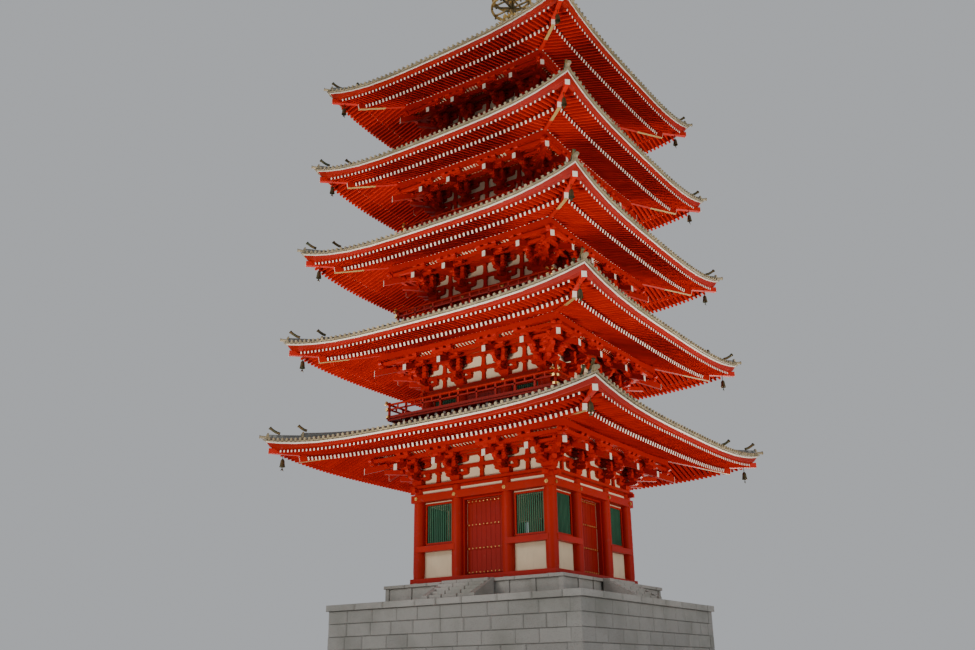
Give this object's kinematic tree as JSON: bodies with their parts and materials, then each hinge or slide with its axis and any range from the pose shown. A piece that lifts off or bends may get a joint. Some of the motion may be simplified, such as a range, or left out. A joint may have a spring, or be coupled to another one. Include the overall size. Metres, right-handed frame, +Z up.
{
  "type": "half-scale model of a five-storey pagoda",
  "caption": "Square Japanese pagoda with stacked upturned tiled eaves on stepped brackets, balconies with railings, a stone plinth and a ringed bronze finial, as a 1:2 scale model.",
  "frame": {"origin": "middle of the plinth's underside, on the ground", "axes": "+Z up along the mast; X and Y square to the four fronts, -Y the south front"},
  "size_m": [9.7178, 9.7178, 26.65],
  "materials": {
    "stone": "dressed grey stone, matt",
    "vermilion": "vermilion paint, satin",
    "plaster": "off-white lime plaster, matt",
    "tile": "grey roof tile, low sheen",
    "bronze": "aged bronze with gilding"
  },
  "bodies": {
    "root": {"plinth": "stone", "podium": "stone", "steps_south": "stone", "steps_east": "stone", "steps_north": "stone", "steps_west": "stone", "frame_1": "vermilion", "wall_1": "plaster", "doors_south": "vermilion", "doors_east": "vermilion", "doors_north": "vermilion", "doors_west": "vermilion", "brackets_1": "vermilion", "eaves_1": "vermilion", "roof_1": "tile", "waist_2": "vermilion", "balcony_2": "vermilion", "railing_2": "vermilion", "frame_2": "vermilion", "wall_2": "plaster", "brackets_2": "vermilion", "eaves_2": "vermilion", "roof_2": "tile", "waist_3": "vermilion", "balcony_3": "vermilion", "railing_3": "vermilion", "frame_3": "vermilion", "wall_3": "plaster", "brackets_3": "vermilion", "eaves_3": "vermilion", "roof_3": "tile", "waist_4": "vermilion", "balcony_4": "vermilion", "railing_4": "vermilion", "frame_4": "vermilion", "wall_4": "plaster", "brackets_4": "vermilion", "eaves_4": "vermilion", "roof_4": "tile", "waist_5": "vermilion", "balcony_5": "vermilion", "railing_5": "vermilion", "frame_5": "vermilion", "wall_5": "plaster", "brackets_5": "vermilion", "eaves_5": "vermilion", "roof_5": "tile", "dew_basin": "bronze", "finial_bowl": "bronze", "finial_rings": "bronze", "water_flame": "bronze", "finial_jewels": "bronze"}
  },
  "joints": []
}
